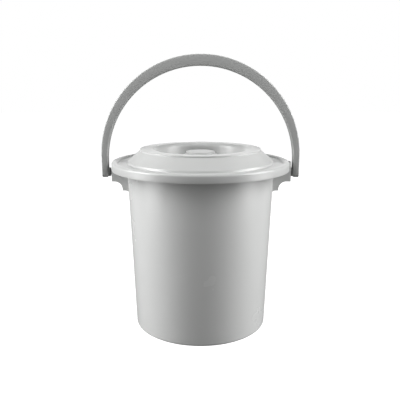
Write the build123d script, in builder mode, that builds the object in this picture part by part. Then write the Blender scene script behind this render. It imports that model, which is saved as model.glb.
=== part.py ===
"""Round pail with a lift-off lid and a swinging bail handle.

Millimetres. The origin is at the centre of the base, +Z is up, the front is -Y
and the bail swings about a line along X. The bail stands upright.
"""

import os

from build123d import *

# Pail wall and floor
base_radius = 110.0  # outside of the wall, carried down to the ground
mouth_radius = 120.5  # outside of the wall at the rim
pail_height = 273.5  # ground to the top face of the rim
wall = 2.6
floor_thickness = 3.0
base_round = 4.5
inner_round = 7.0
foot_width = 9.0  # flat ring that stands on the ground
foot_recess = 1.4

# Pail rim, a flat flange that the lid rests on
rim_width = 22.1
rim_thickness = 2.6
rim_lip_depth = 6.5
rim_lip_thickness = 2.4
rim_edge_round = 1.0
lip_inner_round = 1.0
lip_foot_round = 0.6
under_rim_round = 3.0

# Lid
lid_wall = 2.4
lid_clearance = 0.4  # between the rim and the inside of the skirt
skirt_depth = 7.8  # below the face of the rim
bead_height = 5.4  # above the face of the rim
bead_width = 10.4
bead_round = 3.8
bead_slope = 2.0  # width of the inner slope of the bead
bead_inner_round = 1.6
channel_round = 1.2
cone_foot_round = 0.6
channel_width = 15.4
cone_inset = 1.2
cone_foot_height = 6.0
ring_radius = 99.0
ring_step = 2.6
ring_edge_round = 0.8
ring_foot_round = 0.4
ring_height = 25.0
well_radius = 73.5
well_draft = 4.0
well_depth = 32.0
well_round = 5.0  # between the floor of the well and its wall
well_lip_round = 8.0

# Knob, a separate moulding that snaps through the floor of the well
knob_sink = 4.9  # top of the knob below the ring
crown_radius = 23.7
crown_thickness = 3.4
groove_radius = 21.5
groove_width = 1.3
grip_radius = 27.9
grip_height = 8.6
neck_radius = 19.0
neck_round = 3.0
knob_foot_radius = 22.0
knob_foot_height = 3.0
spigot_radius = 8.0
spigot_clearance = 0.05
barb_height = 4.0
barb_grip = 0.9
knob_core_radius = 5.2
knob_top_wall = 4.0
knob_foot_round = 0.8
neck_foot_round = 2.0
grip_under_round = 2.2
grip_edge_round = 1.6
groove_round = 0.3
crown_under_round = 0.6
crown_round = 1.6
core_round = 1.0

# Ears that carry the bail
ear_gap = 0.4  # between the lid's skirt and the ear
ear_thickness = 2.4
ear_half_width = 10.4
ear_rise = 4.0  # top of the ear above the face of the rim
lug_clearance = 0.7  # below the lid's skirt
lug_web = 2.4
lug_depth = 21.2  # from below the lid's skirt to the foot of the ear
lug_shelf = 36.4  # to the flat step half-way down the webs
scoop_radius = 12.8
scoop_lip = 7.0
shelf_width = 4.2
root_radius = 9.0

# Bail
pivot_drop = 14.3  # pivot below the face of the rim
stud_radius = 4.5
stud_clearance = 0.05  # radial, in the ear
stud_shoulder_radius = 7.2
stud_shoulder_gap = 0.3
stud_head_radius = 5.2
stud_head_height = 2.4
stud_head_gap = 0.3
bail_gap = 3.8  # between the ear and the arm
arm_thickness = 9.8
arm_width = 20.7
arm_below_pivot = 8.0
arm_end_round = 5.0
crown_top = 174.5  # top of the bail above the face of the rim
crown_depth = 18.0  # thickness of the arch at its top
bail_edge_round = 1.8

# Heights
rim_top = pail_height
rim_under = rim_top - rim_thickness
ring_top = rim_top + ring_height
well_floor = ring_top - well_depth
skirt_foot = rim_top - skirt_depth
lug_top = skirt_foot - lug_clearance
ear_foot = skirt_foot - lug_depth
ear_centre = rim_top + ear_rise - ear_half_width
shelf_height = skirt_foot - lug_shelf
root_height = shelf_height - root_radius
pivot_height = rim_top - pivot_drop

# Radii and distances from the centre line
rim_radius = mouth_radius + rim_width
skirt_inside = rim_radius + lid_clearance
skirt_radius = skirt_inside + lid_wall
ear_inside = skirt_radius + ear_gap
ear_outside = ear_inside + ear_thickness
arm_inside = ear_outside + bail_gap
arm_outside = arm_inside + arm_thickness


def wall_radius(height):
    """Radius of the outside of the wall at a height above the ground."""
    return base_radius + (mouth_radius - base_radius) * height / rim_top


os.makedirs("parts", exist_ok=True)

# Pail: a tapered bucket with a flanged rim, then the two lugs, then the hollow
foot_inside = base_radius - base_round - foot_width
web_top = rim_top - rim_thickness / 2
lip_middle = rim_radius - rim_lip_thickness / 2
scoop_start = ear_outside - scoop_lip
scoop_end = scoop_start - scoop_radius
shelf_end = scoop_end - shelf_width
web_start = min(shelf_end, base_radius) - 2 * root_radius
lip_rounds = [lip_inner_round, lip_foot_round, lip_foot_round]
with BuildPart() as pail:
    with BuildSketch(Plane.XZ):
        with BuildLine():
            FilletPolyline(
                (0, foot_recess),
                (foot_inside - foot_recess, foot_recess),
                (foot_inside, 0),
                (base_radius, 0),
                (wall_radius(rim_under), rim_under),
                (rim_radius - rim_lip_thickness, rim_under),
                (rim_radius - rim_lip_thickness, rim_top - rim_lip_depth),
                (rim_radius, rim_top - rim_lip_depth),
                (rim_radius, rim_top),
                (0, rim_top),
                radius=[0, 0, 0, base_round, under_rim_round] + lip_rounds + [rim_edge_round, 0],
                close=True,
            )
        make_face()
    revolve(axis=Axis.Z)
    # Two webs under each ear, scooped out twice on their way down to the wall
    for side in (-1, 1):
        with BuildSketch(Plane.XZ.offset(side * (ear_half_width - lug_web / 2))):
            with BuildLine():
                Polyline(
                    (shelf_end - root_radius, root_height),
                    (web_start, root_height),
                    (web_start, web_top),
                    (lip_middle, web_top),
                    (lip_middle, lug_top),
                    (ear_outside, lug_top),
                    (ear_outside, ear_foot),
                    (scoop_start, ear_foot),
                )
                CenterArc((scoop_start, ear_foot - scoop_radius), scoop_radius, 90, 90)
                Polyline(
                    (scoop_end, ear_foot - scoop_radius),
                    (scoop_end, shelf_height),
                    (shelf_end, shelf_height),
                )
                CenterArc((shelf_end, root_height), root_radius, 90, 90)
            make_face()
            mirror(about=Plane.YZ)
        extrude(amount=lug_web / 2, both=True)
    # Ears, with the holes that the bail turns in
    for side in (-1, 1):
        ear_plane = Plane(origin=(side * ear_inside, 0, 0), x_dir=(0, side, 0), z_dir=(side, 0, 0))
        with BuildSketch(ear_plane):
            with Locations((0, (ear_foot + ear_centre) / 2)):
                Rectangle(2 * ear_half_width, ear_centre - ear_foot)
            with Locations((0, ear_centre)):
                Circle(ear_half_width)
            with Locations((0, pivot_height)):
                Circle(stud_radius + stud_clearance, mode=Mode.SUBTRACT)
        extrude(amount=ear_thickness)
    with BuildSketch(Plane.XZ):
        with BuildLine():
            FilletPolyline(
                (0, floor_thickness + foot_recess),
                (wall_radius(floor_thickness) - wall, floor_thickness + foot_recess),
                (mouth_radius - wall, rim_top),
                (mouth_radius - wall, rim_top + 1),
                (0, rim_top + 1),
                radius=[0, inner_round, 0, 0, 0],
                close=True,
            )
        make_face()
    revolve(axis=Axis.Z, mode=Mode.SUBTRACT)
pail.part.label = "pail"
export_step(pail.part, "parts/pail.step")

# Lid: one thin shell, drawn along its upper face from the well to the skirt
channel_outside = skirt_radius - bead_width
channel_inside = channel_outside - channel_width
hole_radius = spigot_radius + spigot_clearance
well_rounds = [well_round, well_lip_round, ring_edge_round, ring_foot_round]
cone_rounds = [cone_foot_round, channel_round, channel_round]
with BuildPart() as lid:
    with BuildSketch(Plane.XZ):
        with BuildLine():
            FilletPolyline(
                (hole_radius, well_floor),
                (well_radius - well_draft, well_floor),
                (well_radius, ring_top),
                (ring_radius, ring_top),
                (ring_radius, ring_top - ring_step),
                (channel_inside - cone_inset, rim_top + cone_foot_height),
                (channel_inside, rim_top + lid_wall),
                (channel_outside, rim_top + lid_wall),
                (channel_outside + bead_slope, rim_top + bead_height),
                (skirt_radius, rim_top + bead_height),
                (skirt_radius, rim_top - skirt_depth),
                radius=well_rounds + cone_rounds + [bead_inner_round, bead_round],
            )
            offset(amount=lid_wall, side=Side.RIGHT)
        make_face()
    revolve(axis=Axis.Z)
lid.part.label = "lid"
export_step(lid.part, "parts/lid.step")

# Knob: a stepped grip on a narrow neck, cored out from below, with a snap ring on its spigot
knob_top = ring_top - knob_sink
grip_top = knob_top - crown_thickness - groove_width
grip_under = grip_top - grip_height
neck_foot = well_floor + 2 * knob_foot_height
neck_fillet = min(neck_round, 0.4 * (grip_under - neck_foot))
barb_top = well_floor - lid_wall - spigot_clearance
spigot_rounds = [0, 0, 0, 0, 0, knob_foot_round, neck_foot_round, neck_fillet]
grip_rounds = [neck_fillet, grip_under_round, grip_edge_round, groove_round]
crown_rounds = [groove_round, crown_under_round, crown_round, 0]
core_rounds = [0, core_round]
with BuildPart() as lid_knob:
    with BuildSketch(Plane.XZ):
        with BuildLine():
            FilletPolyline(
                (knob_core_radius, barb_top - barb_height),
                (spigot_radius - barb_grip, barb_top - barb_height),
                (spigot_radius + barb_grip, barb_top),
                (spigot_radius, barb_top),
                (spigot_radius, well_floor),
                (knob_foot_radius, well_floor),
                (knob_foot_radius, well_floor + knob_foot_height),
                (neck_radius, neck_foot),
                (neck_radius, grip_under),
                (grip_radius, grip_under),
                (grip_radius, grip_top),
                (groove_radius, grip_top),
                (groove_radius, knob_top - crown_thickness),
                (crown_radius, knob_top - crown_thickness),
                (crown_radius, knob_top),
                (0, knob_top),
                (0, knob_top - knob_top_wall),
                (knob_core_radius, knob_top - knob_top_wall),
                radius=spigot_rounds + grip_rounds + crown_rounds + core_rounds,
                close=True,
            )
        make_face()
    revolve(axis=Axis.Z)
lid_knob.part.label = "lid_knob"
export_step(lid_knob.part, "parts/lid_knob.step")

# Bail: a flat arch, thicker at its top, on two straight arms with shouldered studs
arm_foot = pivot_height - arm_below_pivot
outer_centre = rim_top + crown_top - arm_outside
inner_centre = rim_top + crown_top - crown_depth - arm_inside
shoulder_end = ear_outside + stud_shoulder_gap
head_start = ear_inside - stud_head_gap
with BuildPart() as bail_handle:
    with BuildSketch(Plane.XZ):
        with Locations((0, outer_centre)):
            Circle(arm_outside)
        with Locations((0, (arm_foot + outer_centre) / 2)):
            Rectangle(2 * arm_outside, outer_centre - arm_foot)
        with Locations((0, inner_centre)):
            Circle(arm_inside, mode=Mode.SUBTRACT)
        with Locations((0, inner_centre - arm_outside)):
            Rectangle(2 * arm_inside, 2 * arm_outside, mode=Mode.SUBTRACT)
        with Locations((0, arm_foot - arm_outside)):
            Rectangle(3 * arm_outside, 2 * arm_outside, mode=Mode.SUBTRACT)
    extrude(amount=arm_width / 2, both=True)
    end_edges = edges().filter_by(Axis.X).group_by(Axis.Z)[0]
    fillet(end_edges, arm_end_round)
    side_faces = faces().filter_by(Axis.Y).sort_by(SortBy.AREA)[-2:]
    fillet(side_faces.edges(), bail_edge_round)
    for side in (-1, 1):
        stud_plane = Plane(origin=(side * arm_inside, 0, pivot_height), z_dir=(-side, 0, 0))
        with BuildSketch(stud_plane):
            Circle(stud_shoulder_radius)
        extrude(amount=arm_inside - shoulder_end)
        with BuildSketch(stud_plane):
            Circle(stud_radius)
        extrude(amount=arm_inside - head_start)
        with BuildSketch(stud_plane.offset(arm_inside - head_start)):
            Circle(stud_head_radius)
        extrude(amount=stud_head_height, taper=20)
bail_handle.part.label = "bail_handle"
export_step(bail_handle.part, "parts/bail_handle.step")
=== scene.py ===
import math

import bpy
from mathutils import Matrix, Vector


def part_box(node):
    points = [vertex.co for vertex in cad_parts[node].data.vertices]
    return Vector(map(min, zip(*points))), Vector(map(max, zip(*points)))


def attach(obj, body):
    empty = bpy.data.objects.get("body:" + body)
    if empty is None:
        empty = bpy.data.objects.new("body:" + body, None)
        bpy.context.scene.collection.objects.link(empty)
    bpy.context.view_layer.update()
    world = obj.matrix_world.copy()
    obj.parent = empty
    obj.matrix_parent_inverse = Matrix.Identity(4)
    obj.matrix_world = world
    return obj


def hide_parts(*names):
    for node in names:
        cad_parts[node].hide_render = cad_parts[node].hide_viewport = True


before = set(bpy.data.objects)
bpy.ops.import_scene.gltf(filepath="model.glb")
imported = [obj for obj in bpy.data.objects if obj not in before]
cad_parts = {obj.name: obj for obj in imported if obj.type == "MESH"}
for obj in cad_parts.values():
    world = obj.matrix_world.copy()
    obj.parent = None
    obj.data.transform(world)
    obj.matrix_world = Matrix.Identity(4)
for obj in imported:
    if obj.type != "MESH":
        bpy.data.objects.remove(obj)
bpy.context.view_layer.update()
print("frame loaded")


# outlines are traced in the XZ plane from one vertex, in metres
samePlace = 1e-6  # closer than this is one point
seamGap = 1e-5  # merged where a turned piece closes
roundSides = 48  # sides of the ears' holes and of the studs in them


def startOutline(name, x, z):
    bpy.ops.object.select_all(action="DESELECT")
    bpy.ops.mesh.primitive_plane_add(size=0.01, location=(0, 0, 0))
    piece = bpy.context.object
    piece.name = name
    piece.data.name = name
    bpy.ops.object.mode_set(mode="EDIT")
    bpy.ops.mesh.select_mode(type="VERT")  # a lone vertex is lost in face mode
    bpy.ops.mesh.select_all(action="SELECT")
    bpy.ops.mesh.merge(type="CENTER")
    bpy.ops.transform.translate(value=(x, 0, z))
    return piece


def lineTo(piece, *corners):
    for x, z in corners:
        piece.update_from_editmode()
        pen = next(v.co for v in piece.data.vertices if v.select)
        step = (x - pen.x, 0, z - pen.z)
        bpy.ops.mesh.extrude_region_move(TRANSFORM_OT_translate={"value": step})


def arcAbout(x, z, degrees, steps):
    # counter-clockwise seen from the front
    bpy.ops.mesh.spin(steps=steps, angle=math.radians(degrees), center=(x, 0, z), axis=(0, 1, 0))


def pick(piece, test, kind="VERT"):
    # selects by place: every corner of an edge or face has to pass
    bpy.ops.mesh.select_mode(type=kind)
    bpy.ops.mesh.select_all(action="DESELECT")
    bpy.ops.object.mode_set(mode="OBJECT")
    mesh = piece.data
    if kind == "VERT":
        for v in mesh.vertices:
            v.select = test(v.co)
    else:
        for part in mesh.edges if kind == "EDGE" else mesh.polygons:
            part.select = all(test(mesh.vertices[i].co) for i in part.vertices)
    bpy.ops.object.mode_set(mode="EDIT")


def roundCorner(piece, x, z, radius, segments=6):
    corner = Vector((x, 0, z))
    pick(piece, lambda co: (co - corner).length < samePlace)
    mesh = piece.data
    at = next(v.index for v in mesh.vertices if (v.co - corner).length < samePlace)
    ways = []
    for e in mesh.edges:
        if at in e.vertices:
            far = e.vertices[0] if e.vertices[1] == at else e.vertices[1]
            ways.append((mesh.vertices[far].co - corner).normalized())
    # the bevel's offset runs along the sides, up to where the arc touches them
    reach = radius / math.tan(ways[0].angle(ways[1]) / 2)
    bpy.ops.mesh.bevel(
        offset=reach, offset_type="OFFSET", segments=segments, affect="VERTICES", profile=0.5
    )


def turnRound(piece, steps=160, upOut=True):
    # upOut: the highest face looks up; otherwise the lowest one looks down
    bpy.ops.mesh.select_all(action="SELECT")
    bpy.ops.mesh.spin(steps=steps, angle=math.tau, center=(0, 0, 0), axis=(0, 0, 1))
    bpy.ops.mesh.select_all(action="SELECT")
    bpy.ops.mesh.remove_doubles(threshold=seamGap)
    bpy.ops.mesh.normals_make_consistent(inside=False)
    piece.update_from_editmode()
    way = 1 if upOut else -1
    furthest = max(piece.data.polygons, key=lambda f: way * f.center.z)
    if furthest.normal.z * way < 0:
        bpy.ops.mesh.flip_normals()
    bpy.ops.object.mode_set(mode="OBJECT")


def selectOnly(piece):
    bpy.ops.object.select_all(action="DESELECT")
    piece.select_set(True)
    bpy.context.view_layer.objects.active = piece


def applyAll(piece):
    selectOnly(piece)
    for m in list(piece.modifiers):
        bpy.ops.object.modifier_apply(modifier=m.name)


def thicken(piece, wall):
    m = piece.modifiers.new("wall", "SOLIDIFY")
    m.thickness = wall
    m.offset = -1
    m.use_even_offset = True
    applyAll(piece)


def soften(piece, width, segments=3, angle=50):
    m = piece.modifiers.new("edge", "BEVEL")
    m.width = width
    m.segments = segments
    m.limit_method = "ANGLE"
    m.angle_limit = math.radians(angle)
    applyAll(piece)


def combine(piece, other, how):
    m = piece.modifiers.new(how.lower(), "BOOLEAN")
    m.operation = how
    m.object = other
    m.solver = "EXACT"
    applyAll(piece)
    bpy.data.objects.remove(other)


def smooth(piece, angle=35):
    selectOnly(piece)
    # faces with no area, left by the modifiers
    bpy.ops.object.mode_set(mode="EDIT")
    bpy.ops.mesh.select_mode(type="VERT")
    bpy.ops.mesh.select_all(action="SELECT")
    bpy.ops.mesh.remove_doubles(threshold=samePlace)
    bpy.ops.mesh.dissolve_degenerate(threshold=samePlace)
    bpy.ops.object.mode_set(mode="OBJECT")
    bpy.ops.object.shade_smooth_by_angle(angle=math.radians(angle))


def drum(name, radius, length, at):
    # a short cylinder along X
    bpy.ops.object.select_all(action="DESELECT")
    bpy.ops.mesh.primitive_cylinder_add(
        vertices=roundSides, radius=radius, depth=length, location=at, rotation=(0, math.pi / 2, 0)
    )
    piece = bpy.context.object
    piece.name = name
    bpy.ops.object.transform_apply(location=True, rotation=True, scale=True)
    return piece


# the pail is turned from its outer outline and thickened inwards
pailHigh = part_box("pail")[1]
pailForm = {
    "wall": 0.0026,
    "baseRadius": 0.110,
    "mouthRadius": 0.1205,
    "rimRadius": pailHigh.y,
    "rimTop": 0.2735,
    "lipDepth": 0.0065,
    "footInside": 0.0965,
    "footRecess": 0.0014,
    "baseRound": 0.0045,
    "underRimRound": 0.003,
    "lipRound": 0.0006,
}
rimTop = pailForm["rimTop"]


def wallRadius(height):
    flare = pailForm["mouthRadius"] - pailForm["baseRadius"]
    return pailForm["baseRadius"] + flare * height / rimTop


def makePail():
    form = pailForm
    rimUnder = rimTop - form["wall"]
    lipInside = form["rimRadius"] - form["wall"]
    pail = startOutline("pailShell", 0, form["footRecess"])
    lineTo(
        pail,
        (form["footInside"] - form["footRecess"], form["footRecess"]),
        (form["footInside"], 0),
        (form["baseRadius"], 0),
        (wallRadius(rimUnder), rimUnder),
        (lipInside, rimUnder),
        (lipInside, rimTop - form["lipDepth"]),
    )
    roundCorner(pail, form["baseRadius"], 0, form["baseRound"])
    roundCorner(pail, wallRadius(rimUnder), rimUnder, form["underRimRound"])
    turnRound(pail, upOut=False)
    thicken(pail, form["wall"])
    soften(pail, form["lipRound"])
    return pail


# a lug is two webs with an upright ear across their ends
lugForm = {
    "web": 0.0024,
    "halfWidth": 0.0104,
    "outside": pailHigh.x,
    "thickness": 0.0024,
    "top": rimTop - 0.0085,
    "earFoot": rimTop - 0.029,
    "shelf": rimTop - 0.0442,
    "scoop": 0.0128,
    "scoopLip": 0.007,
    "shelfWidth": 0.0042,
    "rootRound": 0.009,
    "rootDepth": 0.004,  # from the shelf down to the web's start on the wall
    "scoopSteps": 12,
    "rootSteps": 8,
    "pivot": rimTop - 0.0143,
    "hole": 0.00455,
}


def makeWeb(side, y):
    form = lugForm
    wall = pailForm["wall"]
    scoopStart = form["outside"] - form["scoopLip"]
    scoopEnd = scoopStart - form["scoop"]
    shelfEnd = scoopEnd - form["shelfWidth"]
    root = form["shelf"] - form["rootRound"]
    webTop = rimTop - wall / 2
    inside = wallRadius(root) - wall / 2
    lipMiddle = pailForm["rimRadius"] - wall / 2
    web = startOutline("web", side * inside, form["shelf"] - form["rootDepth"])
    lineTo(
        web,
        (side * (wallRadius(webTop) - wall / 2), webTop),
        (side * lipMiddle, webTop),
        (side * lipMiddle, form["top"]),
        (side * form["outside"], form["top"]),
        (side * form["outside"], form["earFoot"]),
        (side * scoopStart, form["earFoot"]),
    )
    scoopCentre = form["earFoot"] - form["scoop"]
    arcAbout(side * scoopStart, scoopCentre, side * 90, form["scoopSteps"])
    lineTo(web, (side * scoopEnd, form["shelf"]), (side * shelfEnd, form["shelf"]))
    sweep = math.degrees(math.asin((shelfEnd - inside) / form["rootRound"]))
    arcAbout(side * shelfEnd, root, side * sweep, form["rootSteps"])
    bpy.ops.mesh.select_all(action="SELECT")
    bpy.ops.mesh.remove_doubles(threshold=samePlace)
    bpy.ops.mesh.edge_face_add()
    bpy.ops.transform.translate(value=(0, y - form["web"] / 2, 0))
    bpy.ops.mesh.extrude_region_move(TRANSFORM_OT_translate={"value": (0, form["web"], 0)})
    bpy.ops.mesh.select_all(action="SELECT")
    bpy.ops.mesh.normals_make_consistent(inside=False)
    bpy.ops.object.mode_set(mode="OBJECT")
    return web


def makeEar(side):
    form = lugForm
    middle = side * (form["outside"] - form["thickness"] / 2)
    centre = pailHigh.z - form["halfWidth"]
    ear = drum("ear", form["halfWidth"], form["thickness"], (middle, 0, centre))
    bpy.ops.object.mode_set(mode="EDIT")
    bpy.ops.mesh.select_all(action="SELECT")
    bpy.ops.mesh.bisect(
        plane_co=(0, 0, centre), plane_no=(0, 0, 1), use_fill=True, clear_inner=True
    )
    pick(ear, lambda co: abs(co.z - centre) < samePlace, "FACE")
    drop = centre - form["earFoot"]
    bpy.ops.mesh.extrude_region_move(TRANSFORM_OT_translate={"value": (0, 0, -drop)})
    bpy.ops.mesh.select_all(action="SELECT")
    bpy.ops.mesh.normals_make_consistent(inside=False)
    bpy.ops.object.mode_set(mode="OBJECT")
    hole = drum("hole", form["hole"], 4 * form["thickness"], (middle, 0, form["pivot"]))
    combine(ear, hole, "DIFFERENCE")
    return ear


pailShell = makePail()
for side in (-1, 1):
    lug = makeEar(side)
    for y in (-1, 1):
        reach = y * (lugForm["halfWidth"] - lugForm["web"] / 2)
        combine(lug, makeWeb(side, reach), "UNION")
    combine(pailShell, lug, "UNION")
smooth(pailShell)
print("pail made")

# the lid is turned from its upper outline and thickened inwards
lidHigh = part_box("lid")[1]
lidForm = {
    "wall": 0.0024,
    "skirtRadius": lidHigh.x,
    "ringTop": lidHigh.z,
    "holeRadius": 0.00805,
    "wellRadius": 0.0735,
    "wellDraft": 0.004,
    "wellDepth": 0.032,
    "ringRadius": 0.099,
    "ringStep": 0.0026,
    "beadWidth": 0.0104,
    "channelWidth": 0.0154,
    "coneInset": 0.0012,
    "coneFoot": rimTop + 0.0060,
    "channel": rimTop + 0.0024,
    "beadTop": rimTop + 0.0054,
    "skirtFoot": rimTop - 0.0078,
    "beadSlope": 0.002,
    "wellRound": 0.005,
    "wellLipRound": 0.008,
    "ringEdgeRound": 0.0008,
    "ringFootRound": 0.0004,
    "coneFootRound": 0.0006,
    "channelRound": 0.0012,
    "beadInnerRound": 0.0016,
    "beadRound": 0.0038,
    "edgeRound": 0.0005,
    "wideRound": 0.004,  # roundings over this get wideSegments
    "wideSegments": 10,
    "segments": 5,
}
wellFloor = lidForm["ringTop"] - lidForm["wellDepth"]


def makeLid():
    form = lidForm
    channelOutside = form["skirtRadius"] - form["beadWidth"]
    channelInside = channelOutside - form["channelWidth"]
    ringFoot = form["ringTop"] - form["ringStep"]
    beadInside = channelOutside + form["beadSlope"]
    corners = [
        (form["wellRadius"] - form["wellDraft"], wellFloor, form["wellRound"]),
        (form["wellRadius"], form["ringTop"], form["wellLipRound"]),
        (form["ringRadius"], form["ringTop"], form["ringEdgeRound"]),
        (form["ringRadius"], ringFoot, form["ringFootRound"]),
        (channelInside - form["coneInset"], form["coneFoot"], form["coneFootRound"]),
        (channelInside, form["channel"], form["channelRound"]),
        (channelOutside, form["channel"], form["channelRound"]),
        (beadInside, form["beadTop"], form["beadInnerRound"]),
        (form["skirtRadius"], form["beadTop"], form["beadRound"]),
    ]
    lid = startOutline("lidShell", form["holeRadius"], wellFloor)
    lineTo(lid, *[(x, z) for x, z, r in corners])
    lineTo(lid, (form["skirtRadius"], form["skirtFoot"]))
    for x, z, r in corners:
        wide = r > form["wideRound"]
        roundCorner(lid, x, z, r, form["wideSegments"] if wide else form["segments"])
    turnRound(lid)
    thicken(lid, form["wall"])
    soften(lid, form["edgeRound"])
    smooth(lid)
    return lid


lidShell = makeLid()
print("lid made")

# the knob is turned from its whole outline
knobLow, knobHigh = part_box("lid_knob")
knobForm = {
    "top": knobHigh.z,
    "grip": knobHigh.x,
    "crown": 0.0237,
    "crownDepth": 0.0034,
    "groove": 0.0215,
    "grooveWidth": 0.0013,
    "gripDepth": 0.0086,
    "neck": 0.019,
    "foot": 0.022,
    "footDepth": 0.003,
    "spigot": 0.008,
    "barb": 0.0009,
    "barbDepth": 0.004,
    "core": 0.0052,
    "topWall": 0.004,
    "crownRound": 0.0017,
    "crownUnderRound": 0.0006,
    "gripEdgeRound": 0.0018,
    "gripUnderRound": 0.0022,
    "neckRound": 0.003,
    "footRound": 0.0015,
    "steps": 96,
}


def makeKnob():
    form = knobForm
    gripTop = form["top"] - form["crownDepth"] - form["grooveWidth"]
    gripUnder = gripTop - form["gripDepth"]
    barbTop = knobLow.z + form["barbDepth"]
    coreTop = form["top"] - form["topWall"]
    crownUnder = form["top"] - form["crownDepth"]
    footTop = wellFloor + form["footDepth"]
    neckFoot = footTop + form["footDepth"]
    knob = startOutline("knobTurned", 0, form["top"])
    lineTo(
        knob,
        (form["crown"], form["top"]),
        (form["crown"], crownUnder),
        (form["groove"], crownUnder),
        (form["groove"], gripTop),
        (form["grip"], gripTop),
        (form["grip"], gripUnder),
        (form["neck"], gripUnder),
        (form["neck"], neckFoot),
        (form["foot"], footTop),
        (form["foot"], wellFloor),
        (form["spigot"], wellFloor),
        (form["spigot"], barbTop),
        (form["spigot"] + form["barb"], barbTop),
        (form["spigot"] - form["barb"], knobLow.z),
        (form["core"], knobLow.z),
        (form["core"], coreTop),
        (0, coreTop),
    )
    roundCorner(knob, form["crown"], form["top"], form["crownRound"])
    roundCorner(knob, form["crown"], crownUnder, form["crownUnderRound"])
    roundCorner(knob, form["grip"], gripTop, form["gripEdgeRound"])
    roundCorner(knob, form["grip"], gripUnder, form["gripUnderRound"])
    roundCorner(knob, form["neck"], gripUnder, form["neckRound"])
    roundCorner(knob, form["neck"], neckFoot, form["neckRound"])
    roundCorner(knob, form["foot"], footTop, form["footRound"])
    turnRound(knob, form["steps"])
    smooth(knob)
    return knob


knobTurned = makeKnob()
print("knob made")

# the bail is bridged between its outer and inner arch, then given its width
bailLow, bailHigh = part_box("bail_handle")
bailForm = {
    "outside": bailHigh.x,
    "inside": bailHigh.x - 0.0098,
    "halfWidth": bailHigh.y,
    "foot": bailLow.z,
    "top": bailHigh.z,
    "crownDepth": 0.018,
    "endRound": 0.005,
    "edgeRound": 0.0018,
    "shoulder": 0.0072,
    "shoulderGap": 0.0003,
    "stud": 0.0045,
    "head": 0.0052,
    "headTip": 0.0043,
    "headDepth": 0.0024,
    "studRoot": 0.002,  # where the stud starts inside the arm
    "archSteps": 72,
    "endSegments": 6,
    "edgeSegments": 4,
}


def archSide(name, radius, top):
    side = startOutline(name, -radius, bailForm["foot"])
    centre = top - radius
    lineTo(side, (-radius, centre))
    arcAbout(0, centre, -180, bailForm["archSteps"])
    lineTo(side, (radius, bailForm["foot"]))
    bpy.ops.object.mode_set(mode="OBJECT")
    return side


def makeStud(side):
    form = bailForm
    earOutside = lugForm["outside"]
    earInside = earOutside - lugForm["thickness"]
    pivot = lugForm["pivot"]
    root = form["inside"] + form["studRoot"]
    shoulderFace = earOutside + form["shoulderGap"]
    headFace = earInside - form["shoulderGap"]
    tip = headFace - form["headDepth"]
    stud = startOutline("stud", side * root, pivot)
    steps = [
        (root, form["shoulder"]),
        (shoulderFace, form["shoulder"]),
        (shoulderFace, form["stud"]),
        (headFace, form["stud"]),
        (headFace, form["head"]),
        (tip, form["headTip"]),
        (tip, 0),
    ]
    lineTo(stud, *[(side * x, pivot + r) for x, r in steps])
    bpy.ops.mesh.select_all(action="SELECT")
    bpy.ops.mesh.spin(
        steps=roundSides, angle=math.tau, center=(0, 0, pivot), axis=(1, 0, 0)
    )
    bpy.ops.mesh.select_all(action="SELECT")
    bpy.ops.mesh.remove_doubles(threshold=samePlace)
    bpy.ops.mesh.normals_make_consistent(inside=False)
    bpy.ops.object.mode_set(mode="OBJECT")
    return stud


def makeBail():
    form = bailForm
    bail = archSide("bailArch", form["outside"], form["top"])
    inner = archSide("innerArch", form["inside"], form["top"] - form["crownDepth"])
    bpy.ops.object.select_all(action="DESELECT")
    inner.select_set(True)
    bail.select_set(True)
    bpy.context.view_layer.objects.active = bail
    bpy.ops.object.join()
    bpy.ops.object.mode_set(mode="EDIT")
    bpy.ops.mesh.select_all(action="SELECT")
    bpy.ops.mesh.bridge_edge_loops()
    bpy.ops.transform.translate(value=(0, -form["halfWidth"], 0))
    bpy.ops.mesh.select_all(action="SELECT")
    bpy.ops.mesh.extrude_region_move(
        TRANSFORM_OT_translate={"value": (0, 2 * form["halfWidth"], 0)}
    )
    bpy.ops.mesh.select_all(action="SELECT")
    bpy.ops.mesh.normals_make_consistent(inside=False)
    # the edges at the front and back of the arms' lower ends
    foot = form["foot"]
    for y in (-1, 1):
        pick(bail, lambda co: co.z < foot + seamGap and co.y * y > 0, "EDGE")
        bpy.ops.mesh.bevel(
            offset=form["endRound"], segments=form["endSegments"], affect="EDGES"
        )
    bpy.ops.object.mode_set(mode="OBJECT")
    soften(bail, form["edgeRound"], form["edgeSegments"])
    for side in (-1, 1):
        combine(bail, makeStud(side), "UNION")
    smooth(bail)
    return bail


bailArch = makeBail()
print("bail made")

for piece, node, body, slot in (
    (pailShell, "pail", "pail", "pail_plastic"),
    (lidShell, "lid", "lid", "lid_plastic"),
    (knobTurned, "lid_knob", "lid", "lid_plastic"),
    (bailArch, "bail_handle", "bail", "bail_plastic"),
):
    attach(piece, body)
    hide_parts(node)

# the pail, lid and bail are one grey plastic; the lid's and the bail's darker base colours are
# painted shade, lowered so that these parts render darker under the lamps
plastic = {
    "pail": {"base": (0.54, 0.545, 0.54), "rough": 0.26},
    "lid": {"base": (0.44, 0.445, 0.44), "rough": 0.30},
    "bail": {"base": (0.35, 0.355, 0.35), "rough": 0.34},
}
plasticDetail = {
    "ior": 1.49,
    "cloudScale": 14.0,
    "cloudDetail": 3.0,
    "tintSpread": 0.015,
    "glossSpread": 0.04,
    "waveScale": 30.0,
    "waveStrength": 0.25,
    "waveHeight": 0.0004,
    "grainScale": 1500.0,
    "grainStrength": 0.06,
    "grainHeight": 0.00002,
}


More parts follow.
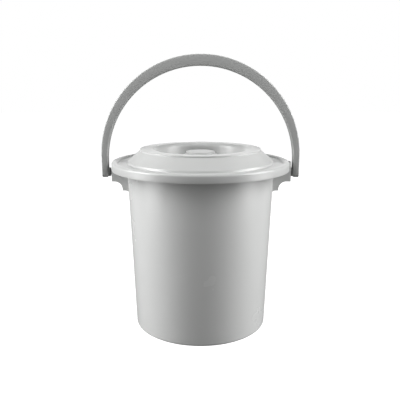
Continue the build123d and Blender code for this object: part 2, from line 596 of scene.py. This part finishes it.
def makePlastic(name, look):
    detail = plasticDetail
    darker, lighter = 1 - detail["tintSpread"], 1 + detail["tintSpread"]
    mat = bpy.data.materials.new(name)
    mat.use_nodes = True
    nodes, links = mat.node_tree.nodes, mat.node_tree.links
    skin = nodes["Principled BSDF"]
    skin.inputs["IOR"].default_value = detail["ior"]
    where = nodes.new("ShaderNodeTexCoord")
    # slow clouding of the pigment and of the gloss
    cloud = nodes.new("ShaderNodeTexNoise")
    cloud.inputs["Scale"].default_value = detail["cloudScale"]
    cloud.inputs["Detail"].default_value = detail["cloudDetail"]
    links.new(where.outputs["Object"], cloud.inputs["Vector"])
    tint = nodes.new("ShaderNodeMix")
    tint.data_type = "RGBA"
    tint.inputs["A"].default_value = (*[c * darker for c in look["base"]], 1)
    tint.inputs["B"].default_value = (*[c * lighter for c in look["base"]], 1)
    links.new(cloud.outputs["Fac"], tint.inputs["Factor"])
    links.new(tint.outputs["Result"], skin.inputs["Base Color"])
    gloss = nodes.new("ShaderNodeMapRange")
    gloss.inputs["To Min"].default_value = look["rough"] - detail["glossSpread"]
    gloss.inputs["To Max"].default_value = look["rough"] + detail["glossSpread"]
    links.new(cloud.outputs["Fac"], gloss.inputs["Value"])
    links.new(gloss.outputs["Result"], skin.inputs["Roughness"])
    # fine mould grain over a very shallow waviness
    wave = nodes.new("ShaderNodeTexNoise")
    wave.inputs["Scale"].default_value = detail["waveScale"]
    links.new(where.outputs["Object"], wave.inputs["Vector"])
    grain = nodes.new("ShaderNodeTexNoise")
    grain.inputs["Scale"].default_value = detail["grainScale"]
    links.new(where.outputs["Object"], grain.inputs["Vector"])
    waviness = nodes.new("ShaderNodeBump")
    waviness.inputs["Strength"].default_value = detail["waveStrength"]
    waviness.inputs["Distance"].default_value = detail["waveHeight"]
    links.new(wave.outputs["Fac"], waviness.inputs["Height"])
    bump = nodes.new("ShaderNodeBump")
    bump.inputs["Strength"].default_value = detail["grainStrength"]
    bump.inputs["Distance"].default_value = detail["grainHeight"]
    links.new(grain.outputs["Fac"], bump.inputs["Height"])
    links.new(waviness.outputs["Normal"], bump.inputs["Normal"])
    links.new(bump.outputs["Normal"], skin.inputs["Normal"])
    return mat


def dress(mat, *pieces):
    for piece in pieces:
        piece.data.materials.clear()
        piece.data.materials.append(mat)


dress(makePlastic("pailPlastic", plastic["pail"]), pailShell)
dress(makePlastic("lidPlastic", plastic["lid"]), lidShell, knobTurned)
dress(makePlastic("bailPlastic", plastic["bail"]), bailArch)
print("plastics on")

camera = {
    "aside": -0.0008,
    "distance": 0.90,  # from the pail's centre line
    "height": 0.4087,
    "pitch": 12.38,  # degrees down
    "lens": 49.46,
    "sensor": 36.0,
}


def addCamera():
    data = bpy.data.cameras.new("camera")
    data.lens = camera["lens"]
    data.sensor_width = camera["sensor"]
    shot = bpy.data.objects.new("camera", data)
    shot.location = (camera["aside"], -camera["distance"], camera["height"])
    shot.rotation_euler = (math.radians(90 - camera["pitch"]), 0, 0)
    bpy.context.scene.collection.objects.link(shot)
    bpy.context.scene.camera = shot


# each softbox is aimed at the middle of the object: turn is in degrees from the front, rise in
# degrees above level; the low two stand partly below the floor, for light off a white table
softboxes = {
    "sideLeft": {"turn": -80, "rise": 28, "away": 1.7, "size": (1.1, 1.3), "power": 48},
    "sideRight": {"turn": 80, "rise": 28, "away": 1.7, "size": (1.1, 1.3), "power": 44},
    "lowLeft": {"turn": -75, "rise": -10, "away": 1.7, "size": (1.0, 0.5), "power": 9},
    "lowRight": {"turn": 75, "rise": -10, "away": 1.7, "size": (1.0, 0.5), "power": 8},
    "front": {"turn": 0, "rise": 62, "away": 1.7, "size": (1.2, 0.8), "power": 3},
    "back": {"turn": 180, "rise": 12, "away": 1.7, "size": (1.4, 0.6), "power": 3},
}
roomGlow = 0.06


def addSoftbox(name, box):
    data = bpy.data.lights.new(name, "AREA")
    data.shape = "RECTANGLE"
    data.size, data.size_y = box["size"]
    data.energy = box["power"]
    light = bpy.data.objects.new(name, data)
    turn, rise = math.radians(box["turn"]), math.radians(box["rise"])
    level = math.cos(rise)
    aim = Vector((math.sin(turn) * level, -math.cos(turn) * level, math.sin(rise)))
    light.location = aim * box["away"] + Vector((0, 0, bailHigh.z / 2))
    light.rotation_euler = aim.to_track_quat("Z", "Y").to_euler()
    bpy.context.scene.collection.objects.link(light)


def addLights():
    for name, box in softboxes.items():
        addSoftbox(name, box)


def setWorld():
    # the room glows faintly on the object, and the camera sees it white
    world = bpy.data.worlds.new("room")
    bpy.context.scene.world = world
    world.use_nodes = True
    nodes, links = world.node_tree.nodes, world.node_tree.links
    nodes.clear()
    glow = nodes.new("ShaderNodeBackground")
    glow.inputs["Color"].default_value = (1, 1, 1, 1)
    glow.inputs["Strength"].default_value = roomGlow
    white = nodes.new("ShaderNodeBackground")
    white.inputs["Color"].default_value = (1, 1, 1, 1)
    path = nodes.new("ShaderNodeLightPath")
    mix = nodes.new("ShaderNodeMixShader")
    out = nodes.new("ShaderNodeOutputWorld")
    links.new(path.outputs["Is Camera Ray"], mix.inputs["Fac"])
    links.new(glow.outputs[0], mix.inputs[1])
    links.new(white.outputs[0], mix.inputs[2])
    links.new(mix.outputs[0], out.inputs["Surface"])
    bpy.context.scene.view_settings.view_transform = "Standard"


floorLook = {"size": 12.0, "white": (0.3, 0.3, 0.3), "rough": 0.9, "glow": 1.0}


def addFloor():
    bpy.ops.object.select_all(action="DESELECT")
    bpy.ops.mesh.primitive_plane_add(size=floorLook["size"], location=(0, 0, 0))
    floor = bpy.context.object
    floor.name = "floor"
    mat = bpy.data.materials.new("floorPaper")
    mat.use_nodes = True
    paper = mat.node_tree.nodes["Principled BSDF"]
    paper.inputs["Base Color"].default_value = (*floorLook["white"], 1)
    paper.inputs["Roughness"].default_value = floorLook["rough"]
    paper.inputs["Emission Color"].default_value = (1, 1, 1, 1)
    paper.inputs["Emission Strength"].default_value = floorLook["glow"]
    floor.data.materials.append(mat)
    floor.visible_diffuse = False
    floor.visible_glossy = False
    floor.visible_shadow = False


addCamera()
addLights()
setWorld()
addFloor()
print("camera, lights and floor set")
